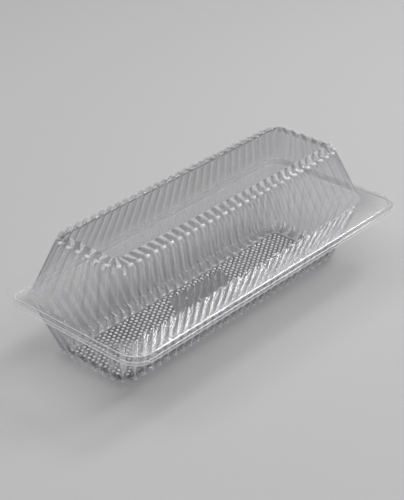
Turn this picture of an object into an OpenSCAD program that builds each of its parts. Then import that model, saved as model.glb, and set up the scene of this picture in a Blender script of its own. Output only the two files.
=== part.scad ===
// Long clear hinged pack for a filled roll.
// One sheet of thin clear film is formed into a ribbed tray and a ribbed lid, which fold
// together along the back edge. The pack stands closed. The origin is at its bottom centre,
// +X runs along the pack and -Y is the side that opens.

/* [Rim] */
// Length of the tray's rim
rim_length = 250; // [220:1:300]
// Width of the tray's rim, from the front edge to the back of the fold
rim_width = 107; // [98:1:130]
// Radius of the rim's front corners
rim_front_radius = 13; // [8:0.5:18]
// Radius of the rim's back corners, beside the fold
rim_back_radius = 8; // [4:0.5:12]
// Height of the lip along the rim's edge
lip_height = 2; // [1:0.1:4]
// How far the lip leans out over its height
lip_lean = 0.7; // [0.4:0.1:1.5]
// How far the lid's rim stays inside the tray's rim
lid_setback = 2.2; // [1:0.1:4]
// Air between the two closed rims
rim_gap = 0.3; // [0.2:0.05:0.6]

/* [Cavity] */
// Width of the shelf in front of the cavity
front_shelf = 20.5; // [14:0.5:26]
// Width of the shelf between the cavity and the back of the fold
back_shelf = 5.8; // [4.5:0.1:10]
// Width of the shelf at each end
end_shelf = 8.5; // [6:0.5:12]
// Radius of the cavity's front corners at the rim
cavity_front_radius = 15; // [9:0.5:18]
// Radius of the cavity's back corners at the rim
cavity_back_radius = 10; // [8:0.5:18]
// Thickness of the film
film = 0.3; // [0.2:0.05:0.5]

/* [Tray] */
// Depth of the tray, from its rim to its underside
tray_depth = 41.5; // [32:0.5:50]
// Length over the ribs at the tray's bottom edge
tray_foot_length = 208; // [190:1:220]
// Width over the ribs at the tray's bottom edge
tray_foot_width = 61; // [52:1:66]
// How far the tray's bottom sits behind the middle of the cavity
tray_foot_shift = 0.8; // [0:0.1:3]

/* [Lid] */
// Height of the lid, from its rim to its top edge
lid_height = 39; // [28:0.5:48]
// Length over the ribs at the lid's top edge
lid_crown_length = 206; // [190:1:220]
// Width over the ribs at the lid's top edge
lid_crown_width = 58; // [52:1:66]
// How far the lid's top sits behind the middle of the cavity
lid_crown_shift = 1.8; // [0:0.1:3]

/* [Ribs] */
// Ribs along each long side
ribs_long = 27; // [16:1:36]
// Ribs along each end
ribs_end = 4; // [2:1:6]
// Ribs round each corner
ribs_corner = 3; // [2:1:4]
// Depth of the valleys between the ribs where they are deepest
rib_depth = 1.8; // [0.8:0.1:2.4]
// Depth of the valleys where the ribs start beside the rim
rib_start_depth = 0.7; // [0.3:0.1:1.2]
// Distance of the ribs' start from the rim
rib_start = 4; // [2:0.5:8]

/* [Shoulder and panel] */
// Corner radius of the shoulder, over the ribs
shoulder_radius = 14; // [10:0.5:16]
// Width of the ribbed shoulder along the panel's long sides
side_shoulder = 7.5; // [5:0.5:10]
// Width of the ribbed shoulder along the panel's ends
end_shoulder = 5.5; // [4:0.5:10]
// How far the ribs fall from the panel's edge to the wall
ridge_drop = 2; // [0.6:0.1:3]
// How far the valleys fall from the panel's edge to the wall
valley_drop = 7; // [5:0.5:10]
// Height of the step at the panel's edge
panel_step = 0.6; // [0.3:0.1:1.2]
// Width of the step at the panel's edge
panel_run = 0.8; // [0.5:0.1:2]
// Corner radius of the panel
panel_radius = 4; // [2:0.5:8]

/* [Fold] */
// Radius of the rolled fold along the back edge
fold_radius = 0.7; // [0.5:0.05:1]
// Air between the fold and the lid's rim
fold_gap = 0.3; // [0.2:0.05:0.6]

/* [Hidden] */
$fn = 48;
film_tint = [0.87, 0.86, 0.88, 0.4];

// A contour is a rounded rectangle: [half length, half width, front radius, back radius, centre y]
fold_y = rim_width / 2 - fold_radius;
fold_z = tray_depth + rim_gap / 2;
front_y = -rim_width / 2;
cavity_width = rim_width - front_shelf - back_shelf;
cavity_y = front_y + front_shelf + cavity_width / 2;
cavity = [rim_length / 2 - end_shelf, cavity_width / 2, cavity_front_radius, cavity_back_radius, cavity_y];
tray_rim = rim_contour(0, fold_y);
lid_rim = rim_contour(lid_setback, fold_y - fold_radius - fold_gap);
tray_foot = shoulder_contour(tray_foot_length, tray_foot_width, tray_foot_shift);
lid_crown = shoulder_contour(lid_crown_length, lid_crown_width, lid_crown_shift);

// The outline is cut into stretches, a long side, a corner, an end and a corner, twice round.
// A place on it is counted in ribs from the start of the front side.
quarter = 90;
stretch_ribs = [for (half = [0, 1]) each [ribs_long, ribs_corner, ribs_end, ribs_corner]];
stretch_starts = [for (i = [0 : len(stretch_ribs)]) ribs_before(i)];
rib_count = stretch_starts[len(stretch_ribs)];

// Each rib has a valley edge, two ridge edges and a valley edge, as shares of its pitch
valley_share = 0.2;
flank_share = 0.12;
rib_shares = [valley_share, valley_share + flank_share];
rib_pitch = (lid_crown_length - 2 * shoulder_radius) / ribs_long;
flank_lean = atan(rib_depth / (flank_share * rib_pitch));
flank_shift_share = film * tan(flank_lean / 2) / rib_pitch;
corner_steps = 6;
// Share of a pitch within which two places count as the same
slack_share = 0.001;

rib_keys = [for (i = [0 : rib_count - 1]) each rib_places(i, 0)];
plain_keys = [for (i = [0 : rib_count - 1]) each [i + valley_share + flank_share / 2,
                                                  i + 1 - valley_share - flank_share / 2]];
rim_keys = [for (i = [1 : 2 : len(stretch_ribs) - 1], step = [0 : corner_steps])
            stretch_starts[i] + stretch_ribs[i] * step / corner_steps];
// The rings of one skin, from the lip to the panel
ring_keys = [rim_keys, rim_keys, plain_keys, rib_keys, rib_keys, rib_keys, plain_keys, rim_keys];

// Contour of a rim that keeps a margin from the tray's rim and ends at a given back edge
function rim_contour(margin, back_y) =
    [rim_length / 2 - margin, (back_y - front_y - margin) / 2,
     rim_front_radius, rim_back_radius, (back_y + front_y + margin) / 2];

// Contour over the ribs at the far edge of a wall, set back from the middle of the cavity
function shoulder_contour(length, width, shift) =
    [length / 2, width / 2, shoulder_radius, shoulder_radius, cavity_y + shift];

// Ribs that come before a stretch
function ribs_before(i) = i == 0 ? 0 : stretch_ribs[i - 1] + ribs_before(i - 1);

// Places of the four edges of rib i, with each flank moved towards the ridge by a share of the pitch
function rib_places(i, shift_share) = concat(
    [for (share = rib_shares) i + share + shift_share],
    [for (k = [len(rib_shares) - 1 : -1 : 0]) i + 1 - rib_shares[k] - shift_share]);

function heading(angle) = [cos(angle), sin(angle)];

// Contour drawn in by a distance
function inset(contour, distance) = contour - distance * [1, 1, 1, 1, 0];

// Contour between two others, at a share of the way
function between(from, to, share) = from + (to - from) * share;

// Radius of a contour's corner, counted from the front right one round to the front left one
function corner_radius(contour, corner) = corner % 3 == 0 ? contour[2] : contour[3];

// Point of a contour at a place, and the direction that faces out there
function spot(contour, place) =
    let (key = place % rib_count,
         i = max([for (j = [0 : len(stretch_ribs) - 1]) if (stretch_starts[j] <= key) j]),
         share = (key - stretch_starts[i]) / stretch_ribs[i],
         turn = floor(i / 2),
         out = heading(quarter * (turn - 1)),
         along = heading(quarter * turn),
         out_reach = contour[(turn + 1) % 2],
         along_reach = contour[turn % 2],
         start = corner_radius(contour, (turn + 3) % 4) - along_reach,
         radius = corner_radius(contour, turn),
         end = along_reach - radius,
         on_side = i % 2 == 0,
         face = on_side ? out : heading(quarter * (turn - 1 + share)),
         point = on_side
             ? out * out_reach + along * (start + (end - start) * share)
             : out * (out_reach - radius) + along * end + face * radius)
    [point + [0, contour[4]], face];

// Ring of points at one height
function plain_ring(contour, keys, z) =
    [for (key = keys) concat(spot(contour, key)[0], z)];

// Ring of the rim's edge: a lip along the front and the ends that flattens out towards the fold
function lip_ring(contour, flat, raised) =
    [for (key = rim_keys)
        let (at = spot(contour, key),
             share = 1 - max(0, at[1][1]),
             inward_and_up = flat + (raised - flat) * share)
        concat(at[0] - at[1] * inward_and_up[0], inward_and_up[1])];

// Ring of ridges on the contour and valleys drawn in from it
function ribbed_ring(contour, shift_share, ridge_z, valley_in, valley_z) =
    [for (i = [0 : rib_count - 1], k = [0 : 3])
        let (at = spot(contour, rib_places(i, shift_share)[k]),
             in_valley = k == 0 || k == 3)
        concat(at[0] - at[1] * (in_valley ? valley_in : 0), in_valley ? valley_z : ridge_z)];

// Rings of the outer skin (side 1) or the inner skin (side 0) of a dish that opens downwards at z = 0
function skin(side, rim, crown, height, panel_z) =
    let (sink = film * (1 - side),
         edge_z = film * side,
         low_z = film + rib_start,
         high_z = height - valley_drop,
         ridge_z = height - ridge_drop,
         lean = atan((cavity[1] - crown[1]) / ridge_z),
         draw = sink * (1 - sin(lean)) / cos(lean),
         shift_share = flank_shift_share * (1 - side),
         foot = inset(cavity, draw),
         top = inset(crown, draw),
         chamfer_in = (rib_depth + side_shoulder) / 2,
         panel = [crown[0] - end_shoulder, crown[1] - side_shoulder, panel_radius, panel_radius, crown[4]],
         inner_panel = panel - panel_run * [1, 1, 0, 0, 0])
    [lip_ring(rim, [edge_z, film], [edge_z, lip_height]),
     lip_ring(rim, [film + edge_z, edge_z], [lip_lean + edge_z, edge_z]),
     plain_ring(foot, plain_keys, edge_z),
     ribbed_ring(between(foot, top, low_z / ridge_z), shift_share,
                 low_z - sink, rib_start_depth, low_z - sink),
     ribbed_ring(between(foot, top, high_z / ridge_z), shift_share,
                 high_z - sink, rib_depth, high_z - sink),
     ribbed_ring(top, shift_share, ridge_z - sink, chamfer_in, height - valley_drop / 2 - sink),
     plain_ring(panel, plain_keys, height - sink),
     plain_ring(inner_panel, rim_keys, panel_z - sink)];

// Number of keys up to a place, and before it
function keys_to(keys, place) = len([for (key = keys) if (key < place + slack_share) key]);
function keys_before(keys, place) = len([for (key = keys) if (key < place - slack_share) key]);

// Key that follows key i on a ring, past the start if need be
function next_key(keys, i) = i + 1 < len(keys) ? keys[i + 1] : keys[0] + rib_count;

// Triangles between an outer and an inner ring, which may have different numbers of points
function band(outer, outer_first, inner, inner_first) = concat(
    [for (i = [0 : len(outer) - 1])
        let (place = next_key(outer, i),
             j = keys_to(inner, place) + keys_to(inner, place - rib_count) - 1)
        [outer_first + (i + 1) % len(outer), outer_first + i,
         inner_first + (j + len(inner)) % len(inner)]],
    [for (j = [0 : len(inner) - 1])
        let (place = next_key(inner, j),
             i = keys_before(outer, place) + keys_before(outer, place - rib_count) - 1)
        [inner_first + j, inner_first + (j + 1) % len(inner),
         outer_first + (i + len(outer)) % len(outer)]]);

function reversed(list) = [for (i = [len(list) - 1 : -1 : 0]) list[i]];

// First point of ring i in a skin
function ring_first(i) = i == 0 ? 0 : len(ring_keys[i - 1]) + ring_first(i - 1);

// Faces of one skin, seen from its outer side
function skin_faces(first) =
    let (last = len(ring_keys) - 1)
    concat([for (i = [0 : last - 1])
               each band(ring_keys[i], first + ring_first(i), ring_keys[i + 1], first + ring_first(i + 1))],
           [[for (k = [len(ring_keys[last]) - 1 : -1 : 0]) first + ring_first(last) + k]]);

// A ribbed dish of film with a rim: two skins, closed along the lip
module dish(rim, crown, height, panel_z) {
    outside = [for (ring = skin(1, rim, crown, height, panel_z)) each ring];
    inside = [for (ring = skin(0, rim, crown, height, panel_z)) each ring];
    second = len(outside);
    polyhedron(
        points = concat(outside, inside),
        faces = concat(skin_faces(0),
                       [for (face = skin_faces(second)) reversed(face)],
                       band(rim_keys, second, rim_keys, 0)),
        convexity = 8);
}

// The rolled fold along the back edge, between the corners of the rim
module fold_roll() {
    fold_length = rim_length - 2 * rim_back_radius;
    translate([-fold_length / 2, fold_y, fold_z])
        rotate([0, quarter, 0])
            cylinder(r = fold_radius, h = fold_length);
}

// The lower half, with the fold on its back edge
module base_tray() {
    color(film_tint)
        union() {
            translate([0, 0, tray_depth])
                mirror([0, 0, 1])
                    dish(tray_rim, tray_foot, tray_depth - panel_step, tray_depth);
            fold_roll();
        }
}

// The upper half, closed on the tray's rim
module lid() {
    color(film_tint)
        translate([0, 0, tray_depth + rim_gap])
            dish(lid_rim, lid_crown, lid_height, lid_height - panel_step);
}

base_tray();
lid();
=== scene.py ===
"""Looks of a long clear hinged pack for a filled roll.

One sheet of thin clear film is formed into a ribbed tray and a ribbed lid, which fold together along
the back edge. Each surface is a grid of points: columns run round the pack and are counted in ribs, and
rows run from the lip of the rim to the panel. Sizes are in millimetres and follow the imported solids.
"""

from __future__ import annotations

import logging
from dataclasses import dataclass, field
from enum import Enum, IntEnum

import bmesh
import bpy
import numpy as np
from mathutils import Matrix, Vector


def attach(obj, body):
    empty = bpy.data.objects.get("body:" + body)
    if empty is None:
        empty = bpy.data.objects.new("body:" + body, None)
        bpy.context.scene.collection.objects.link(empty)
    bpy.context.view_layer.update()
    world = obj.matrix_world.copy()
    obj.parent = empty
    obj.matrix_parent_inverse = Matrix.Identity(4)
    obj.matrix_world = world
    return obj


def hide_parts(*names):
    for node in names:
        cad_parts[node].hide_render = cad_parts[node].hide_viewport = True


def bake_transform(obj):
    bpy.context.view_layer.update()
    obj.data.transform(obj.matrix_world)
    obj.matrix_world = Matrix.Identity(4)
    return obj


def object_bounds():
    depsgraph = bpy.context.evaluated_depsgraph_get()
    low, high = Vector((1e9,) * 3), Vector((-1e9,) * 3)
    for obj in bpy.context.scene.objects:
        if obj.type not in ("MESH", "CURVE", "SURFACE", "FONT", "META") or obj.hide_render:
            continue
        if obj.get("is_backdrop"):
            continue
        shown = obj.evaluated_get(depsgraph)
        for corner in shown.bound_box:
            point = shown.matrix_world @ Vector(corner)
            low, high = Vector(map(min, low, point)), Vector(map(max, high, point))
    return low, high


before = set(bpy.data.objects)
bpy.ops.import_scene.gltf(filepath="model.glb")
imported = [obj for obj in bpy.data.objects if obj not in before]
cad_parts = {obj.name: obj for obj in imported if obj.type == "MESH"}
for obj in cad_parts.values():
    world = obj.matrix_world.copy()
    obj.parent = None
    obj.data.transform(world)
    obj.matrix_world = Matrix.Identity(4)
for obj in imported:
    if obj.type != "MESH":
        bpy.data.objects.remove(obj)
CAD_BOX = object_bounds()

log = logging.getLogger("roll_pack")
Array = np.ndarray
Values = Array | float
Socket = bpy.types.NodeSocket
Pair = tuple[float, float]
Triple = tuple[float, float, float]
Colour = tuple[float, float, float, float]

MM = 0.001
QUARTER = np.pi / 2
TINY = 1e-9
MERGE_DISTANCE = 1e-7
SHARP_ANGLE = np.radians(55.0)
WHITE: Colour = (1.0, 1.0, 1.0, 1.0)


def smooth(low: float, high: float, value: Array) -> Array:
    """Share from 0 at low to 1 at high, level at both ends: 3 t^2 - 2 t^3.

    Args:
        low: Value at which the share leaves 0.
        high: Value at which the share reaches 1.
        value: Values to read.

    Returns:
        The shares, in the shape of value.
    """
    t = np.clip((value - low) / (high - low), 0.0, 1.0)
    return t * t * (3.0 - 2.0 * t)


def bump(centre: float, width: float, value: Array) -> Array:
    """Bell of height 1 round a centre: exp(-((v - centre) / width)^2)."""
    return np.exp(-(((value - centre) / width) ** 2))


def between(rise: Pair, fall: Pair, value: Array) -> Array:
    """Share that rises from 0 to 1 over one span and falls back to 0 over another."""
    return smooth(*rise, value) * (1.0 - smooth(*fall, value))


def part_way(first: Values, second: Values, share: Values) -> Values:
    """What lies a share of the way from the first to the second."""
    return first + (second - first) * share


def unit(vectors: Array) -> Array:
    """Vectors scaled to length 1, with zero vectors left at zero."""
    length = np.linalg.norm(vectors, axis=-1, keepdims=True)
    return vectors / np.where(length > TINY, length, 1.0)


class Half(Enum):
    """The two halves of the pack, by the way their dish bulges."""

    TRAY = -1.0
    LID = 1.0


class Ring(IntEnum):
    """The rings of a half's outer face, in order from its edge to its panel."""

    LIP_TIP = 0
    LIP_FOOT = 1
    SHELF_NEAR = 2
    SHELF_FAR = 3
    CAVITY = 4
    RIB_START = 5
    WALL_UPPER = 6
    WALL_LOWER = 7
    VALLEY_FOOT = 8
    WALL_TIP = 9
    SHOULDER = 10
    RUNG_TIP = 11
    RUNG_END = 12
    PANEL_EDGE = 13
    PANEL = 14


@dataclass(frozen=True)
class Rounding:
    """Rounding of a surface at a ring: how far from the ring it starts, and its number of spans."""

    fillet: float
    steps: int
    run_share: float = 0.45
    place_span: float = 0.3


ROUNDINGS: dict[int, Rounding] = {
    Ring.LIP_FOOT: Rounding(0.45, 3),
    Ring.CAVITY: Rounding(0.2, 3),
    Ring.RIB_START: Rounding(1.5, 4),
    Ring.VALLEY_FOOT: Rounding(1.5, 4),
    Ring.SHOULDER: Rounding(0.8, 5),
    Ring.PANEL_EDGE: Rounding(0.08, 3),
}
PANEL_ROUNDING = Rounding(0.08, 2)


@dataclass(frozen=True)
class Outline:
    """A rounded rectangle in plan, in millimetres."""

    half_length: float
    half_width: float
    front_radius: float
    back_radius: float
    centre_y: float

    def inset(self, distance: float) -> Outline:
        """The outline drawn in by a distance, with its corners' centres kept.

        Args:
            distance: How far every side moves in.

        Returns:
            The new outline.
        """
        return Outline(
            self.half_length - distance,
            self.half_width - distance,
            self.front_radius - distance,
            self.back_radius - distance,
            self.centre_y,
        )

    def drawn_in(self, ends: float, sides: float, radius: float) -> Outline:
        """The outline with its ends and sides moved in and both corner radii set."""
        return Outline(self.half_length - ends, self.half_width - sides, radius, radius, self.centre_y)

    def towards(self, other: Outline, share: float) -> Outline:
        """The outline a share of the way to another one."""
        mine, theirs = (np.array(list(vars(outline).values())) for outline in (self, other))
        return Outline(*part_way(mine, theirs, share))

    def towards_spine(self, share: float) -> Outline:
        """The outline shrunk a share of the way to the line along its middle.

        Args:
            share: 0 for the outline itself, 1 for the line.

        Returns:
            The new outline.
        """
        step = self.half_width * share
        return Outline(
            self.half_length - step,
            self.half_width - step,
            self.front_radius * (1.0 - share),
            self.back_radius * (1.0 - share),
            self.centre_y,
        )


@dataclass
class RibWalk:
    """Places round the pack, counted in ribs from the start of the front side.

    The walk has eight stretches: a long side, a corner, an end and a corner, twice round. Every rib has
    its columns at the same shares of its pitch, and starts in the middle of a valley.
    """

    along: int = 27
    end: int = 4
    corner: int = 3
    shares: tuple[float, ...] = (0.0, 0.15, 0.2, 0.26, 0.32, 0.37, 0.5, 0.63, 0.68, 0.74, 0.8, 0.85)
    valley: float = 0.17
    ridge: float = 0.35
    front_gain: float = 1.5
    front_least: float = 0.1
    turn: Array = field(init=False)
    share: Array = field(init=False)
    on_side: Array = field(init=False)
    phase: Array = field(init=False)

    def __post_init__(self) -> None:
        """Work out, for every column, its stretch, its share of the stretch and its place in its rib."""
        ribs = np.array([self.along, self.corner, self.end, self.corner] * 2)
        starts = np.concatenate([[0], np.cumsum(ribs)])
        keys = (np.arange(starts[-1])[:, None] + np.array(self.shares)[None, :]).ravel()
        stretch = np.searchsorted(starts, keys, side="right") - 1
        self.turn = stretch // 2
        self.on_side = stretch % 2 == 0
        self.share = (keys - starts[stretch]) / ribs[stretch]
        self.phase = keys - np.floor(keys)

    @property
    def facing(self) -> Array:
        """Direction that faces out of the pack at every column."""
        angle = QUARTER * (self.turn - 1 + np.where(self.on_side, 0.0, self.share))
        return np.stack([np.cos(angle), np.sin(angle)], axis=1)

    @property
    def backward(self) -> Array:
        """1 along the back, falling to 0 round its corners."""
        return np.maximum(0.0, self.facing[:, 1])

    @property
    def forward(self) -> Array:
        """1 along the front and into its corners, and a little at the ends and the back."""
        return np.clip(-self.front_gain * self.facing[:, 1], self.front_least, 1.0)

    @property
    def from_valley(self) -> Array:
        """Distance from the nearest valley's middle, as a share of the pitch."""
        return np.minimum(self.phase, 1.0 - self.phase)

    @property
    def depth(self) -> Array:
        """1 in a valley, 0 on a ridge, with smooth flanks between."""
        return 1.0 - smooth(self.valley, self.ridge, self.from_valley)

    def points(self, outline: Outline) -> Array:
        """Points of an outline at every column.

        On a side the point is out * reach + along * (start + (stop - start) * share). On a corner it is
        the corner's centre plus the facing direction times the radius.

        Args:
            outline: The rounded rectangle to walk.

        Returns:
            Plan points, one row of (x, y) for each column.
        """
        out_angle, along_angle = QUARTER * (self.turn - 1), QUARTER * self.turn
        out = np.stack([np.cos(out_angle), np.sin(out_angle)], axis=1)
        along = np.stack([np.cos(along_angle), np.sin(along_angle)], axis=1)
        reach = np.array([outline.half_length, outline.half_width])
        radii = np.repeat([outline.front_radius, outline.back_radius, outline.front_radius], (1, 2, 1))
        out_reach, along_reach = reach[(self.turn + 1) % 2], reach[self.turn % 2]
        radius, before = radii[self.turn], np.roll(radii, 1)[self.turn]
        start, stop = before - along_reach, along_reach - radius
        side = out * out_reach[:, None] + along * part_way(start, stop, self.share)[:, None]
        centre = out * (out_reach - radius)[:, None] + along * stop[:, None]
        plan = np.where(self.on_side[:, None], side, centre + self.facing * radius[:, None])
        return plan + np.array([0.0, outline.centre_y])

    def ring(
        self, outline: Outline, z: float, valley_in: float = 0.0, valley_z: float | None = None
    ) -> Array:
        """Ring of ridges on an outline, with valleys drawn in from it.

        Args:
            outline: Outline over the ridges.
            z: Height of the ridges.
            valley_in: How far the valleys lie inside the outline.
            valley_z: Height of the valleys, the ridges' height if left out.

        Returns:
            Points, one row of (x, y, z) for each column.
        """
        plan = self.points(outline) - self.facing * (valley_in * self.depth)[:, None]
        height = part_way(z, z if valley_z is None else valley_z, self.depth)
        return np.column_stack([plan, height])

    def lip(self, outline: Outline, flat: Pair, raised: Pair) -> Array:
        """Ring of the rim's edge, raised at the front and the ends and flat along the fold.

        Args:
            outline: Outline of the rim.
            flat: Distance in and height along the fold.
            raised: Distance in and height at the front and the ends.

        Returns:
            Points, one row of (x, y, z) for each column.
        """
        inward, height = (part_way(low, high, 1.0 - self.backward) for low, high in zip(flat, raised))
        return np.column_stack([self.points(outline) - self.facing * inward[:, None], height])


def rounded_rows(rings: list[Array], roundings: dict[int, Rounding]) -> tuple[Array, Array]:
    """Rows of a surface that runs through rings with its corners rounded.

    At a rounded ring P the profile leaves its straight run a fillet before the ring, follows the
    quadratic curve (1 - t)^2 A + 2 t (1 - t) P + t^2 B, and joins the next run a fillet after it.

    Args:
        rings: Rings of points, in order.
        roundings: Roundings, by the number of their ring. The other rings are plain rows.

    Returns:
        The rows, as rows by columns by 3, and each row's place counted in rings.
    """
    rows, places = [], []
    for i, ring in enumerate(rings):
        if i not in roundings:
            rows.append(ring)
            places.append(float(i))
            continue
        rounding = roundings[i]
        ends = []
        for run in (rings[i - 1] - ring, rings[i + 1] - ring):
            most = rounding.run_share * np.linalg.norm(run, axis=1)
            ends.append(ring + unit(run) * np.minimum(rounding.fillet, most)[:, None])
        for t in np.linspace(0.0, 1.0, rounding.steps + 1):
            rows.append((1 - t) ** 2 * ends[0] + 2 * t * (1 - t) * ring + t**2 * ends[1])
            places.append(i + rounding.place_span * (t - 0.5))
    return np.array(rows), np.array(places)


def out_of_sheet(rows: Array, wraps: bool) -> Array:
    """Directions square to a grid, from the cross product of its two tangents.

    Args:
        rows: Grid of points, rows by columns by 3.
        wraps: True if the last column meets the first.

    Returns:
        Unit vectors in the shape of rows, upwards where the grid has collapsed.
    """
    down = np.gradient(rows, axis=0)
    if wraps:
        across = np.roll(rows, -1, axis=1) - np.roll(rows, 1, axis=1)
    else:
        across = np.gradient(rows, axis=1)
    square = np.cross(across, down)
    flat = np.linalg.norm(square, axis=-1, keepdims=True) < TINY
    return unit(np.where(flat, np.array([0.0, 0.0, 1.0]), square))


def grid_faces(rows: int, columns: int, wraps: bool) -> Array:
    """Quads of a grid, as vertex numbers counted row by row.

    Args:
        rows: Number of rows.
        columns: Number of columns.
        wraps: True if the last column meets the first.

    Returns:
        The quads, four vertex numbers each.
    """
    across = columns if wraps else columns - 1
    r, c = np.meshgrid(np.arange(rows - 1), np.arange(across), indexing="ij")
    n = (c + 1) % columns
    quads = [r * columns + c, r * columns + n, (r + 1) * columns + n, (r + 1) * columns + c]
    return np.stack(quads, axis=-1).reshape(-1, 4)


def edge_strip(first: Array, second: Array, wraps: bool) -> Array:
    """Quads between two lines of vertex numbers that run side by side.

    Args:
        first: Vertex numbers of one line.
        second: Vertex numbers of the other.
        wraps: True if both lines are closed.

    Returns:
        The quads, four vertex numbers each.
    """
    if wraps:
        return np.stack([first, second, np.roll(second, -1), np.roll(first, -1)], axis=1)
    return np.stack([first[:-1], second[:-1], second[1:], first[1:]], axis=1)


@dataclass
class Sheet:
    """A sheet of film: a grid for its outer face, its thickness, and its painted highlight and painted
    shade by point.
    """

    name: str
    outer: Array
    film: float
    painted_highlight: Array
    painted_shade: Array
    wraps: bool
    capped: bool = False
    flip: bool = False

    def quads(self) -> Array:
        """Faces of the outer and inner sides and of the edges that close them.

        Returns:
            The quads, with the inner side's vertices counted after the outer side's.
        """
        rows, columns = self.outer.shape[:2]
        count = rows * columns
        number = np.arange(count).reshape(rows, columns)
        front = grid_faces(rows, columns, self.wraps)
        faces = [front, front[:, ::-1] + count]
        faces.append(edge_strip(number[0] + count, number[0], self.wraps)[:, ::-1])
        if not self.capped:
            faces.append(edge_strip(number[-1], number[-1] + count, self.wraps)[:, ::-1])
        if not self.wraps:
            faces.append(edge_strip(number[:, 0], number[:, 0] + count, False)[:, ::-1])
            faces.append(edge_strip(number[:, -1] + count, number[:, -1], False)[:, ::-1])
        quads = np.concatenate(faces)
        return quads[:, ::-1] if self.flip else quads

    def mesh(self) -> bpy.types.Mesh:
        """Close the two faces of the sheet along its edges and write the mesh.

        The inner face is the outer face moved in by the film's thickness, square to the sheet. A capped
        sheet ends on a line, where its doubled points are merged.

        Returns:
            The mesh, in metres, with its painted highlight and painted shade kept as point attributes.
        """
        inner = self.outer - self.film * out_of_sheet(self.outer, self.wraps)
        places = np.concatenate([self.outer.reshape(-1, 3), inner.reshape(-1, 3)]) * MM
        mesh = bpy.data.meshes.new(self.name)
        mesh.from_pydata(places.tolist(), [], self.quads().tolist())
        for name, values in (("painted_highlight", self.painted_highlight), ("painted_shade", self.painted_shade)):
            layer = mesh.attributes.new(name, "FLOAT", "POINT")
            layer.data.foreach_set("value", np.tile(values.ravel(), 2).astype(np.float32))
        if self.capped:
            work = bmesh.new()
            work.from_mesh(mesh)
            bmesh.ops.remove_doubles(work, verts=work.verts, dist=MERGE_DISTANCE)
            work.to_mesh(mesh)
            work.free()
        mesh.validate()
        mesh.shade_smooth()
        mesh.set_sharp_from_angle(angle=SHARP_ANGLE)
        return mesh

    def piece(self) -> bpy.types.Object:
        """The sheet as an object of the scene, at the origin.

        Returns:
            The object, linked to the scene.
        """
        piece = bpy.data.objects.new(self.name, self.mesh())
        bpy.context.scene.collection.objects.link(piece)
        log.info("%s: %d faces", self.name, len(piece.data.polygons))
        return piece


@dataclass
class NodeSheet:
    """A material's or world's node tree, with short calls to add and join nodes."""

    tree: bpy.types.NodeTree

    def add(self, kind: str, **settings: object) -> bpy.types.Node:
        """Add a node of a kind and set its properties.

        Args:
            kind: Blender's name for the node.
            settings: Properties to set on it.

        Returns:
            The node.
        """
        node = self.tree.nodes.new(kind)
        for name, value in settings.items():
            setattr(node, name, value)
        return node

    def join(self, source: Socket, node: bpy.types.Node, socket: str | int) -> None:
        """Lead an output into a node's input."""
        self.tree.links.new(source, node.inputs[socket])

    def shader(self, kind: str, colour: Colour) -> Socket:
        """Add a plain shader of one colour.

        Args:
            kind: Blender's name for the shader.
            colour: Its colour.

        Returns:
            The shader's socket.
        """
        node = self.add(kind)
        node.inputs["Color"].default_value = colour
        return node.outputs["BSDF"]

    def attribute(self, name: str) -> Socket:
        """Value of a point attribute of the piece."""
        return self.add("ShaderNodeAttribute", attribute_name=name).outputs["Fac"]

    def ramp(self, source: Socket, reads: Pair, gives: Pair) -> Socket:
        """Map a value from one span to another, held at both ends.

        Args:
            source: Value to map.
            reads: Values that give the two ends.
            gives: Results at the two ends.

        Returns:
            The mapped value's socket.
        """
        node = self.add("ShaderNodeMapRange")
        self.join(source, node, "Value")
        for name, value in zip(("From Min", "From Max", "To Min", "To Max"), (*reads, *gives)):
            node.inputs[name].default_value = value
        return node.outputs["Result"]

    def noise(self, scale: Triple, detail: float) -> Socket:
        """Smooth noise over the piece's own coordinates.

        Args:
            scale: Number of features in a metre along x, y and z.
            detail: Number of finer layers.

        Returns:
            The noise's socket, from 0 to 1.
        """
        place = self.add("ShaderNodeTexCoord")
        spread = self.add("ShaderNodeMapping")
        spread.inputs["Scale"].default_value = scale
        self.join(place.outputs["Object"], spread, "Vector")
        cloud = self.add("ShaderNodeTexNoise")
        cloud.inputs["Scale"].default_value = 1.0
        cloud.inputs["Detail"].default_value = detail
        self.join(spread.outputs["Vector"], cloud, "Vector")
        return cloud.outputs["Fac"]

    def maths(self, operation: str, first: Socket, second: Socket | float) -> Socket:
        """Combine two values.

        Args:
            operation: Blender's name for the sum.
            first: First value.
            second: Second value, a socket or a number.

        Returns:
            The result's socket.
        """
        node = self.add("ShaderNodeMath", operation=operation)
        self.join(first, node, 0)
        if isinstance(second, float):
            node.inputs[1].default_value = second
        else:
            self.join(second, node, 1)
        return node.outputs[0]

    def blend(self, share: Socket, first: Socket, second: Socket) -> Socket:
        """Mix two shaders.

        Args:
            share: Share of the second shader.
            first: Shader at share 0.
            second: Shader at share 1.

        Returns:
            The mix's socket.
        """
        node = self.add("ShaderNodeMixShader")
        for place, source in enumerate((share, first, second)):
            self.join(source, node, place)
        return node.outputs["Shader"]


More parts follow.
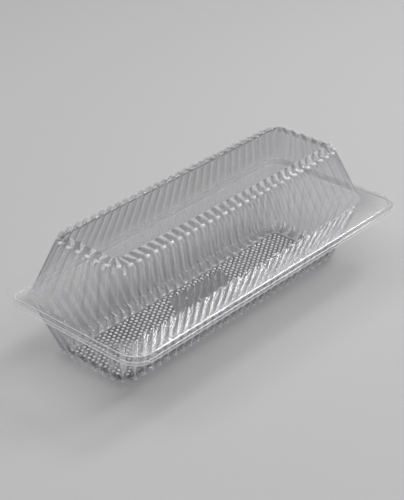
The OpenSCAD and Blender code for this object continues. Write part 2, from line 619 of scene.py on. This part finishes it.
@dataclass(frozen=True)
class FilmFinish:
    """Clear formed film: see-through and glossy, with painted highlights in white and painted shade in
    grey.
    """

    name: str
    clear: Colour = (0.9, 0.9, 0.905, 1.0)
    # Grey of the painted shade; white of the painted highlights and of the film's faint haze.
    grey: Colour = (0.3, 0.3, 0.308, 1.0)
    haze_and_highlight_white: Colour = (0.95, 0.945, 0.953, 1.0)
    streak_scale: Triple = (420.0, 420.0, 45.0)
    streak_detail: float = 2.0
    highlight_streak_reads: Pair = (0.3, 0.7)
    highlight_gain: Pair = (0.598, 0.92)
    haze_reads: Pair = (0.35, 0.75)
    haze: Pair = (0.012, 0.036)
    ripple_scale: Triple = (55.0, 55.0, 40.0)
    ripple_detail: float = 1.5
    ripple_strength: float = 0.05
    ripple_height: float = 0.0012
    ripple_reads: Pair = (0.3, 0.7)
    roughness: Pair = (0.04, 0.1)
    mirrored: Pair = (0.07, 0.8)
    edge_on_blend: float = 0.5
    edge_on_power: float = 4.0

    def see_through(self, sheet: NodeSheet) -> Socket:
        """Light that goes straight through: clear, and dimmer by the painted shade attribute."""
        clear, grey = (sheet.shader("ShaderNodeBsdfTransparent", c) for c in (self.clear, self.grey))
        return sheet.blend(sheet.attribute("painted_shade"), clear, grey)

    def hazed_and_highlit(self, sheet: NodeSheet, body: Socket) -> Socket:
        """Painted highlights in white by their attribute, broken up by fine streaks, and faint haze,
        over a body.

        Args:
            sheet: Node tree to build in.
            body: Shader under the painted highlights.

        Returns:
            The shader's socket.
        """
        streaks = sheet.noise(self.streak_scale, self.streak_detail)
        gain = sheet.ramp(streaks, self.highlight_streak_reads, self.highlight_gain)
        share = sheet.maths("MULTIPLY", sheet.attribute("painted_highlight"), gain)
        share = sheet.maths("ADD", share, sheet.ramp(streaks, self.haze_reads, self.haze))
        return sheet.blend(share, body, sheet.shader("ShaderNodeBsdfDiffuse", self.haze_and_highlight_white))

    def polished(self, sheet: NodeSheet, body: Socket) -> Socket:
        """Gloss over a body: a mirrored share that grows edge-on, as facing^4 between its two ends.

        Args:
            sheet: Node tree to build in.
            body: Shader under the gloss.

        Returns:
            The shader's socket.
        """
        ripples = sheet.noise(self.ripple_scale, self.ripple_detail)
        wavy = sheet.add("ShaderNodeBump")
        wavy.inputs["Strength"].default_value = self.ripple_strength
        wavy.inputs["Distance"].default_value = self.ripple_height
        sheet.join(ripples, wavy, "Height")
        gloss = sheet.add("ShaderNodeBsdfGlossy")
        gloss.inputs["Color"].default_value = WHITE
        sheet.join(sheet.ramp(ripples, self.ripple_reads, self.roughness), gloss, "Roughness")
        sheet.join(wavy.outputs["Normal"], gloss, "Normal")
        edge_on = sheet.add("ShaderNodeLayerWeight")
        edge_on.inputs["Blend"].default_value = self.edge_on_blend
        sheet.join(wavy.outputs["Normal"], edge_on, "Normal")
        steep = sheet.maths("POWER", edge_on.outputs["Facing"], self.edge_on_power)
        return sheet.blend(sheet.ramp(steep, (0.0, 1.0), self.mirrored), body, gloss.outputs["BSDF"])

    def material(self) -> bpy.types.Material:
        """Build the film's shader, which acts where light enters the film and lets it leave freely.

        Returns:
            The material.
        """
        material = bpy.data.materials.new(self.name)
        material.use_nodes = True
        sheet = NodeSheet(material.node_tree)
        sheet.tree.nodes.clear()
        entering = self.polished(sheet, self.hazed_and_highlit(sheet, self.see_through(sheet)))
        leaving = sheet.shader("ShaderNodeBsdfTransparent", WHITE)
        side = sheet.add("ShaderNodeNewGeometry").outputs["Backfacing"]
        output = sheet.add("ShaderNodeOutputMaterial")
        sheet.join(sheet.blend(side, entering, leaving), output, "Surface")
        return material


@dataclass(frozen=True)
class StageFinish:
    """Plain pale surface of the floor."""

    name: str = "stage_pale"
    colour: Colour = (0.5, 0.5, 0.505, 1.0)
    roughness: float = 0.75
    shine: float = 0.2

    def material(self) -> bpy.types.Material:
        """Build the floor's plain shader.

        Returns:
            The material.
        """
        material = bpy.data.materials.new(self.name)
        material.use_nodes = True
        plain = material.node_tree.nodes["Principled BSDF"]
        plain.inputs["Base Color"].default_value = self.colour
        plain.inputs["Roughness"].default_value = self.roughness
        plain.inputs["Specular IOR Level"].default_value = self.shine
        return material


@dataclass
class PackSizes:
    """Sizes of the pack, named as its solids name them."""

    rim_length: float = 250.0
    rim_width: float = 107.0
    rim_front_radius: float = 13.0
    rim_back_radius: float = 8.0
    lip_height: float = 2.0
    lip_lean: float = 0.7
    lid_setback: float = 2.2
    rim_gap: float = 0.3
    front_shelf: float = 20.5
    back_shelf: float = 5.8
    end_shelf: float = 8.5
    cavity_front_radius: float = 15.0
    cavity_back_radius: float = 10.0
    film: float = 0.3
    tray_depth: float = 41.5
    tray_foot_length: float = 208.0
    tray_foot_width: float = 61.0
    tray_foot_shift: float = 0.8
    lid_height: float = 39.0
    lid_crown_length: float = 206.0
    lid_crown_width: float = 58.0
    lid_crown_shift: float = 1.8
    panel_step: float = 0.6
    fold_radius: float = 0.7
    fold_gap: float = 0.3

    @property
    def fold_y(self) -> float:
        """Depth at which the fold's axis lies."""
        return self.rim_width / 2 - self.fold_radius

    @property
    def fold_z(self) -> float:
        """Height of the fold's axis."""
        return self.tray_depth + self.rim_gap / 2

    @property
    def cavity(self) -> Outline:
        """Outline of the cavity at the rim.

        Returns:
            The outline, moved back by the front shelf.
        """
        width = self.rim_width - self.front_shelf - self.back_shelf
        return Outline(
            self.rim_length / 2 - self.end_shelf,
            width / 2,
            self.cavity_front_radius,
            self.cavity_back_radius,
            self.front_shelf + width / 2 - self.rim_width / 2,
        )

    def rim(self, margin: float, back_y: float) -> Outline:
        """Outline of a rim that keeps a margin from the tray's rim and ends at a back edge.

        Args:
            margin: Distance from the tray's rim at the front and the ends.
            back_y: Depth of the back edge.

        Returns:
            The outline.
        """
        front_y = margin - self.rim_width / 2
        return Outline(
            self.rim_length / 2 - margin,
            (back_y - front_y) / 2,
            self.rim_front_radius,
            self.rim_back_radius,
            (back_y + front_y) / 2,
        )


@dataclass(frozen=True)
class PaintedLightMarks:
    """Painted highlights in white and painted shade in grey on a formed half, as shares of full
    highlight and full shade.

    A band gives a mark's middle and width across a rib, as shares of its pitch. Rows give its middle or
    its ends and its width along the wall, counted in rings.
    """

    # Painted highlights: rib lines, dots, streaks, tooth tips, dashes, rung edges, and lip and shelf
    # marks.
    line: float = 0.35
    back_line: float = 0.95
    line_start: float = 0.6
    line_band: Pair = (0.36, 0.05)
    back_line_band: Pair = (0.5, 0.06)
    line_rise: Pair = (Ring.CAVITY + 0.3, Ring.RIB_START + 0.4)
    line_fall: Pair = (Ring.SHOULDER - 0.1, Ring.SHOULDER)
    start_dot: float = 0.0
    start_dot_rows: float = 0.3
    streak: float = 0.0
    streak_spread: Pair = (Ring.RIB_START + 0.2, Ring.WALL_LOWER)
    streak_reads: Pair = (0.7, 1.3)
    tip: float = 0.95
    tip_rows: float = 0.35
    dash: float = 0.5
    dash_rows: float = 0.3
    rung: float = 0.4
    rung_band: Pair = (0.345, 0.045)
    rung_fall: Pair = (Ring.PANEL_EDGE - 0.05, Ring.PANEL_EDGE + 0.05)
    lip_tip: float = 0.75
    lip_tip_rows: float = 0.3
    lip_foot: float = 0.55
    mouth: float = 0.08
    fine_rows: float = 0.12
    back_shelf: float = 0.3
    front_shelf: float = 0.0
    front_shelf_rows: float = 0.6
    # Painted shade: in the gaps between teeth, in the back's valleys and beside the lip.
    gap_shade: float = 0.5
    back_gap_shade: float = 0.5
    gap_fall: Pair = (Ring.PANEL_EDGE - 0.1, Ring.PANEL_EDGE)
    back_valley_shade: float = 0.3
    rim_shade: float = 0.35
    rim_shade_rows: Pair = (Ring.LIP_FOOT + 0.25, 0.15)


@dataclass
class Dish:
    """A ribbed half of the pack: rim, ribbed wall, toothed shoulder and panel edge."""

    sizes: PackSizes
    walk: RibWalk
    half: Half
    name: str
    marks: PaintedLightMarks
    rim: Outline
    height: float
    panel_z: float
    crown_length: float
    crown_width: float
    crown_shift: float
    rib_depth: float = 1.8
    rib_start_depth: float = 0.7
    rib_start: float = 4.0
    shoulder_radius: float = 14.0
    side_shoulder: float = 7.5
    end_shoulder: float = 5.5
    ridge_drop: float = 2.0
    valley_drop: float = 7.0
    panel_run: float = 0.8
    panel_radius: float = 4.0
    shelf_shares: Pair = (0.09, 0.9)
    wall_shares: Pair = (0.35, 0.65)
    tip_share: float = 0.7
    rung_shares: Pair = (0.16, 0.86)
    panel_shares: tuple[float, ...] = (0.1, 0.3, 0.6, 1.0)

    @property
    def crown(self) -> Outline:
        """Outline over the ribs at the far edge of the wall.

        Returns:
            The outline, shifted back from the cavity's middle.
        """
        return Outline(
            self.crown_length / 2,
            self.crown_width / 2,
            self.shoulder_radius,
            self.shoulder_radius,
            self.sizes.cavity.centre_y + self.crown_shift,
        )

    @property
    def inner_panel(self) -> Outline:
        """Outline of the panel inside its step."""
        ends, sides = (shoulder + self.panel_run for shoulder in (self.end_shoulder, self.side_shoulder))
        return self.crown.drawn_in(ends, sides, self.panel_radius)

    def rings(self) -> list[Array]:
        """Rings of the outer face, from the lip to the panel, with the rim at height 0 and the dish up.

        Returns:
            A ring of points for each member of Ring, in order.
        """
        film, walk, cavity, crown = self.sizes.film, self.walk, self.sizes.cavity, self.crown
        low, high = film + self.rib_start, self.height - self.valley_drop
        ridge = self.height - self.ridge_drop
        chamfer_in = (self.rib_depth + self.side_shoulder) / 2
        panel = crown.drawn_in(self.end_shoulder, self.side_shoulder, self.panel_radius)
        tip = walk.lip(self.rim, (film, film), (film, self.sizes.lip_height))
        foot = walk.lip(self.rim, (2 * film, film), (self.sizes.lip_lean + film, film))
        mouth = walk.ring(cavity, film)
        start = walk.ring(cavity.towards(crown, low / ridge), low, self.rib_start_depth)
        valley = walk.ring(cavity.towards(crown, high / ridge), high, self.rib_depth)
        shoulder = walk.ring(crown, ridge, chamfer_in, self.height - self.valley_drop / 2)
        edge = walk.ring(panel, self.height)
        return [
            tip,
            foot,
            *(part_way(foot, mouth, share) for share in self.shelf_shares),
            mouth,
            start,
            *(part_way(start, valley, share) for share in self.wall_shares),
            valley,
            part_way(valley, shoulder, self.tip_share),
            shoulder,
            *(part_way(shoulder, edge, share) for share in self.rung_shares),
            edge,
            walk.ring(self.inner_panel, self.panel_z),
        ]

    def rib_highlights(self, at: Array) -> Array:
        """Painted highlights of the ribs: white lines, dots and streaks.

        A line along one edge of each rib grows towards the shoulder. Along the back it lies on the
        rib's middle instead, and may start in a dot. Streaks fill the ribs along the front from below
        the rim and spread over the valleys on their way down.

        Args:
            at: Place of each row, counted in rings.

        Returns:
            The shares of full painted highlight, rows by columns.
        """
        marks, walk, back = self.marks, self.walk, self.walk.backward
        wall = between(marks.line_rise, marks.line_fall, at)
        growth = part_way(marks.line_start, 1.0, smooth(Ring.WALL_UPPER, Ring.SHOULDER, at))
        edge, middle = bump(*marks.line_band, walk.phase), bump(*marks.back_line_band, walk.phase)
        lines = part_way(marks.line, marks.back_line, back) * part_way(edge, middle, back)
        dots = marks.start_dot * back * middle * bump(Ring.RIB_START, marks.start_dot_rows, at)
        below = between((Ring.CAVITY, Ring.RIB_START), (Ring.WALL_LOWER, Ring.VALLEY_FOOT), at)
        filled = smooth(*marks.streak_reads, 1.0 - walk.depth + smooth(*marks.streak_spread, at))
        return wall * growth * lines + dots + marks.streak * below * walk.forward * filled

    def tooth_highlights(self, at: Array) -> Array:
        """Painted highlights: white tips of the teeth, the edges of the rungs behind them, and a dash at
        the panel.

        Args:
            at: Place of each row, counted in rings.

        Returns:
            The shares of full painted highlight, rows by columns.
        """
        marks, walk = self.marks, self.walk
        rungs = marks.rung * bump(*marks.rung_band, walk.from_valley)
        rungs = rungs * between(marks.line_fall, marks.rung_fall, at)
        tips = marks.tip * bump(Ring.SHOULDER, marks.tip_rows, at)
        dashes = marks.dash * bump(Ring.PANEL_EDGE, marks.dash_rows, at)
        return rungs + (1.0 - walk.depth) * (tips + dashes)

    def rim_highlights(self, at: Array) -> Array:
        """Painted highlights on the lip's and mouth's edges, and a white sheen on the back shelf and
        front lip.

        Args:
            at: Place of each row, counted in rings.

        Returns:
            The shares of full painted highlight, rows by columns.
        """
        marks, walk = self.marks, self.walk
        lip = marks.lip_tip * bump(Ring.LIP_TIP, marks.lip_tip_rows, at)
        foot = marks.lip_foot * bump(Ring.LIP_FOOT, marks.fine_rows, at)
        mouth = marks.mouth * bump(Ring.CAVITY, marks.fine_rows, at)
        shelf = between((Ring.LIP_FOOT, Ring.SHELF_NEAR), (Ring.SHELF_FAR, Ring.CAVITY), at)
        haze = marks.front_shelf * bump(Ring.SHELF_NEAR, marks.front_shelf_rows, at) * walk.forward
        return lip + foot + mouth + marks.back_shelf * shelf * walk.backward + haze

    def painted_highlight(self, at: Array) -> Array:
        """Painted highlights on the film, for each row and column."""
        return np.clip(self.rib_highlights(at) + self.tooth_highlights(at) + self.rim_highlights(at), 0.0, 1.0)

    def painted_shade(self, at: Array) -> Array:
        """Painted shade on the film: on flanks, in the back's valleys, between the teeth and inside the
        lip.

        Args:
            at: Place of each row, counted in rings.

        Returns:
            The shares of full painted shade, rows by columns.
        """
        marks, depth, back = self.marks, self.walk.depth, self.walk.backward
        wall = between((Ring.RIB_START, Ring.WALL_UPPER), (Ring.VALLEY_FOOT, Ring.SHOULDER), at)
        flank = depth * (1.0 - depth) * (1.0 - back) + marks.back_valley_shade * depth * back
        teeth = between((Ring.VALLEY_FOOT, Ring.SHOULDER), marks.gap_fall, at)
        gap = part_way(marks.gap_shade, marks.back_gap_shade, back) * depth
        rim = marks.rim_shade * bump(*marks.rim_shade_rows, at)
        return np.clip(wall * flank + teeth * gap + rim * (1.0 - back), 0.0, 1.0)

    def placed(self, rows: Array) -> Array:
        """The rows stood on the tray's rim, upwards for the lid and downwards for the tray."""
        base = self.sizes.tray_depth + (self.sizes.rim_gap if self.half is Half.LID else 0.0)
        return rows * np.array([1.0, 1.0, self.half.value]) + np.array([0.0, 0.0, base])

    def build(self) -> bpy.types.Object:
        """Build the half: rounded rows through its rings, and for the lid the panel to its middle line.

        Returns:
            The piece.
        """
        closed = self.half is Half.LID
        rings, roundings = self.rings(), dict(ROUNDINGS)
        if closed:
            panels = (self.inner_panel.towards_spine(share) for share in self.panel_shares)
            rings += [self.walk.ring(panel, self.panel_z) for panel in panels]
            roundings[Ring.PANEL] = PANEL_ROUNDING
        rows, places = rounded_rows(rings, roundings)
        at = places[:, None]
        sheet = Sheet(
            self.name,
            self.placed(rows),
            self.sizes.film * self.half.value,
            self.painted_highlight(at),
            self.painted_shade(at),
            wraps=True,
            capped=closed,
            flip=not closed,
        )
        return sheet.piece()


@dataclass
class TrayFloor:
    """The tray's floor: film pressed into close rows of round bumps, with a smooth slanted pad."""

    sizes: PackSizes
    outline: Outline
    name: str = "tray_floor"
    pitch: float = 3.4
    rise: float = 0.8
    sharpness: float = 1.3
    pad_half_length: float = 25.7
    pad_half_width: float = 17.5
    pad_slant: float = 0.6
    pad_border: Pair = (-0.3, 0.5)
    edge_border: Pair = (0.6, 1.8)
    edge_gap: float = 0.04
    columns: int = 420
    rows: int = 96
    crowding: float = 0.15
    crowding_turn: float = 0.999
    # Painted highlights on the bumps' crests, painted shade over the pad and deeper in the gaps.
    bump_highlight_reads: Pair = (0.3, 0.6)
    bump_shade_reads: Pair = (0.1, 0.35)
    pad_shade: float = 0.45
    gap_shade: float = 0.8

    def lattice(self, x: Array, y: Array) -> Array:
        """Round bumps on a close-packed lattice: the sum of three cosine waves at 60 degrees.

        Args:
            x: Places along the pack.
            y: Places across the pack.

        Returns:
            Heights from 0 to 1, which the sum's lowest and highest values give.
        """
        lowest, highest = -1.5, 3.0
        across, along = 2 * np.pi / self.pitch, 2 * np.pi / (self.pitch * np.sqrt(3.0))
        waves = np.cos(2 * along * x) + np.cos(along * x + across * y) + np.cos(along * x - across * y)
        return ((waves - lowest) / (highest - lowest)) ** self.sharpness

    def pressed(self, x: Array, y: Array) -> Array:
        """Share of the bumps' full height: 1 on most of the floor, 0 on its edge and on the pad.

        Args:
            x: Places along the pack.
            y: Places across the pack.

        Returns:
            The shares.
        """
        o = self.outline
        from_edge = np.minimum(o.half_length - np.abs(x), o.half_width - np.abs(y - o.centre_y))
        aside = np.abs(x - self.pad_slant * (y - o.centre_y)) - self.pad_half_length
        beyond = np.maximum(aside, np.abs(y - o.centre_y) - self.pad_half_width)
        return smooth(*self.edge_border, from_edge) * smooth(*self.pad_border, beyond)

    def build(self) -> bpy.types.Object:
        """Build the floor.

        Row t runs across at y = centre + t * half width, and its reach is the half length less the
        corner's rounding there: L(y) = half length - r + sqrt(r^2 - (|y| - (half width - r))^2). The
        rows crowd a little towards the edges.

        Returns:
            The piece.
        """
        o = self.outline.inset(self.edge_gap)
        even = np.linspace(-1.0, 1.0, self.rows)
        crowded = np.sin(even * QUARTER * self.crowding_turn)
        y = part_way(even, crowded, self.crowding) * o.half_width
        past = np.maximum(0.0, np.abs(y) - (o.half_width - o.front_radius))
        reach = o.half_length - o.front_radius + np.sqrt(np.maximum(0.0, o.front_radius**2 - past**2))
        x = np.linspace(-1.0, 1.0, self.columns)[None, :] * reach[:, None]
        y = np.broadcast_to(y[:, None] + o.centre_y, x.shape)
        bumps, pressed = self.lattice(x, y), self.pressed(x, y)
        under = np.stack([x, y, bumps * pressed * self.rise], axis=-1)
        # Painted highlights on the bumps' crests; painted shade over the whole floor, deepest between
        # the bumps.
        painted_highlight = pressed * smooth(*self.bump_highlight_reads, bumps)
        gaps = pressed * (1.0 - smooth(*self.bump_shade_reads, bumps))
        painted_shade = part_way(self.pad_shade, self.gap_shade, gaps)
        return Sheet(self.name, under, -self.sizes.film, painted_highlight, painted_shade, wraps=False, flip=True).piece()


@dataclass
class FoldStrip:
    """The living hinge: a narrow strip of film that rolls from the tray's back edge to the lid's."""

    sizes: PackSizes
    name: str = "fold_strip"
    roll: float = 0.48
    roll_out: float = 0.04
    swell: float = 0.12
    tail: Pair = (0.4, 0.97)
    turn_rows: int = 13
    columns: int = 120
    # Painted highlight along the whole fold.
    fold_highlight: float = 0.35

    def build(self) -> bpy.types.Object:
        """Build the strip along the back edge.

        The profile turns half round the fold's axis, y = axis + out + roll * cos(a) and
        z = axis + (level + swell * cos(a)) * sin(a), and then runs forward to the lid's edge.

        Returns:
            The piece.
        """
        s = self.sizes
        level = (s.rim_gap + s.film) / 2
        angle = np.linspace(-QUARTER, QUARTER, self.turn_rows)
        x = np.linspace(-1.0, 1.0, self.columns) * (s.rim_length / 2 - s.rim_back_radius)
        turn_y = s.fold_y + self.roll_out + self.roll * np.cos(angle)
        turn_z = (level + self.swell * np.cos(angle)) * np.sin(angle)
        y = np.concatenate([turn_y, s.fold_y - np.array(self.tail)])
        z = np.concatenate([turn_z, np.full(len(self.tail), level)]) + s.fold_z
        middle = np.stack(np.broadcast_arrays(x[None, :], y[:, None], z[:, None]), axis=-1)
        outer = middle - out_of_sheet(middle, False) * s.film / 2
        # A painted highlight along the whole fold, and no painted shade.
        painted_highlight = np.full(middle.shape[:2], self.fold_highlight)
        return Sheet(self.name, outer, -s.film, painted_highlight, 0.0 * painted_highlight, wraps=False, flip=True).piece()


@dataclass(frozen=True)
class Softbox:
    """A soft lamp of the studio."""

    name: str
    place: Triple
    size: Pair
    power: float
    aim: Triple = (0.0, 0.0, 0.04)

    def hang(self) -> None:
        """Hang the lamp and turn it to the pack."""
        lamp = bpy.data.lights.new(self.name, "AREA")
        lamp.shape = "RECTANGLE"
        lamp.size, lamp.size_y = self.size
        lamp.energy = self.power
        holder = bpy.data.objects.new(self.name, lamp)
        holder.location = self.place
        way = Vector(self.aim) - Vector(self.place)
        holder.rotation_euler = way.to_track_quat("-Z", "Y").to_euler()
        bpy.context.scene.collection.objects.link(holder)


@dataclass
class Studio:
    """The plain floor, the soft light and the camera."""

    floor_half: float = 4.0
    floor_lines: int = 9
    camera_place: Triple = (-0.54230, -0.46906, 0.45666)
    camera_look: Triple = (0.6474, 0.5731, -0.5025)
    camera_near: float = 0.01
    sensor_width: float = 36.0
    focal_pixels: float = 1345.96
    picture_height: float = 500.0
    wall_heights: Pair = (0.0, 0.35)
    wall_light: Pair = (0.6, 0.12)
    top_heights: Pair = (0.65, 0.9)
    top_light: Pair = (0.0, 1.2)
    film_layers: int = 48
    lamps: tuple[Softbox, ...] = (
        Softbox("lamp_right", (0.7, -0.1, 0.85), (0.24, 0.36), 4.1),
        Softbox("lamp_back_left", (-0.45, 0.6, 1.05), (0.16, 0.38), 1.9),
        Softbox("lamp_front", (-0.2, -0.75, 1.0), (0.42, 0.34), 1.6),
    )

    def floor(self) -> None:
        """Lay the floor, a level grid."""
        side = np.linspace(-self.floor_half, self.floor_half, self.floor_lines)
        x, y = np.meshgrid(side, side)
        points = np.stack([x, y, np.zeros_like(x)], axis=-1).reshape(-1, 3)
        mesh = bpy.data.meshes.new("stage_floor")
        faces = grid_faces(self.floor_lines, self.floor_lines, False)
        mesh.from_pydata(points.tolist(), [], faces.tolist())
        floor = bpy.data.objects.new("stage_floor", mesh)
        floor.data.materials.append(StageFinish().material())
        bpy.context.scene.collection.objects.link(floor)
        floor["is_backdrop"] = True

    def world(self) -> None:
        """Fill the room with grey light: pale at the horizon, dimmer above it, and bright overhead."""
        world = bpy.data.worlds.new("studio_room")
        world.use_nodes = True
        sheet = NodeSheet(world.node_tree)
        place = sheet.add("ShaderNodeTexCoord")
        parts = sheet.add("ShaderNodeSeparateXYZ")
        sheet.join(place.outputs["Generated"], parts, "Vector")
        around = sheet.ramp(parts.outputs["Z"], self.wall_heights, self.wall_light)
        overhead = sheet.ramp(parts.outputs["Z"], self.top_heights, self.top_light)
        level = sheet.maths("ADD", around, overhead)
        grey = sheet.add("ShaderNodeCombineColor")
        for channel in ("Red", "Green", "Blue"):
            sheet.join(level, grey, channel)
        sheet.join(grey.outputs["Color"], world.node_tree.nodes["Background"], "Color")
        bpy.context.scene.world = world

    def camera(self) -> None:
        """Stand the camera where the photograph was taken from."""
        lens = bpy.data.cameras.new("camera")
        lens.sensor_width = self.sensor_width
        lens.lens = self.focal_pixels * self.sensor_width / self.picture_height
        lens.clip_start = self.camera_near
        camera = bpy.data.objects.new("camera", lens)
        camera.location = self.camera_place
        camera.rotation_euler = Vector(self.camera_look).to_track_quat("-Z", "Y").to_euler()
        bpy.context.scene.collection.objects.link(camera)
        bpy.context.scene.camera = camera

    def set_up(self) -> None:
        """Set up the floor, the light and the camera, and let sight pass through many layers of film."""
        self.camera()
        self.floor()
        self.world()
        for lamp in self.lamps:
            lamp.hang()
        scene = bpy.context.scene
        scene.view_settings.view_transform = "Standard"
        scene.cycles.transparent_max_bounces = self.film_layers


@dataclass
class RollPack:
    """The whole pack: tray, floor, lid and fold."""

    sizes: PackSizes = field(default_factory=PackSizes)
    walk: RibWalk = field(default_factory=RibWalk)
    finish: FilmFinish = FilmFinish("clear_film")
    # Painted highlights and painted shade of each half.
    tray_marks: PaintedLightMarks = PaintedLightMarks(
        line=0.8, back_line=0.2, start_dot=0.9, streak=1.0, gap_shade=0.65, back_gap_shade=0.2
    )
    lid_marks: PaintedLightMarks = PaintedLightMarks(front_shelf=0.35)
    lid_panel_run: float = 0.2
    blend_reach: float = 0.15

    def tray(self) -> Dish:
        """The lower half, up to the edge of its floor.

        Returns:
            The dish, not built yet.
        """
        s = self.sizes
        return Dish(
            s,
            self.walk,
            Half.TRAY,
            "tray_shell",
            self.tray_marks,
            rim=s.rim(0.0, s.fold_y),
            height=s.tray_depth - s.panel_step,
            panel_z=s.tray_depth,
            crown_length=s.tray_foot_length,
            crown_width=s.tray_foot_width,
            crown_shift=s.tray_foot_shift,
        )

    def lid(self) -> Dish:
        """The upper half, with its panel.

        Returns:
            The dish, not built yet.
        """
        s = self.sizes
        return Dish(
            s,
            self.walk,
            Half.LID,
            "lid_shell",
            self.lid_marks,
            rim=s.rim(s.lid_setback, s.fold_y - s.fold_radius - s.fold_gap),
            height=s.lid_height,
            panel_z=s.lid_height - s.panel_step,
            crown_length=s.lid_crown_length,
            crown_width=s.lid_crown_width,
            crown_shift=s.lid_crown_shift,
            panel_run=self.lid_panel_run,
        )

    def build(self) -> None:
        """Build and dress each piece, tie the tray, floor and lid to their bodies, and bake the fold in
        place.
        """
        s, tray = self.sizes, self.tray()
        film = self.finish.material()
        pieces = {
            "base": [tray.build(), TrayFloor(s, tray.inner_panel).build()],
            "cover": [self.lid().build()],
        }
        fold = FoldStrip(s).build()
        for body, members in pieces.items():
            for piece in members:
                piece.data.materials.append(film)
                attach(piece, body)
        fold.data.materials.append(film)
        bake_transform(fold)
        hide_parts("base_tray")
        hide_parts("lid")


def main() -> None:
    logging.basicConfig(level=logging.INFO, format="%(name)s: %(message)s")
    Studio().set_up()
    RollPack().build()
    boxes = {"cad": CAD_BOX, "visual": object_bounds()}
    boxes = {name: [list(corner) for corner in box] for name, box in boxes.items()}
    log.info("boxes: %s", boxes)


if __name__ == "__main__":
    main()
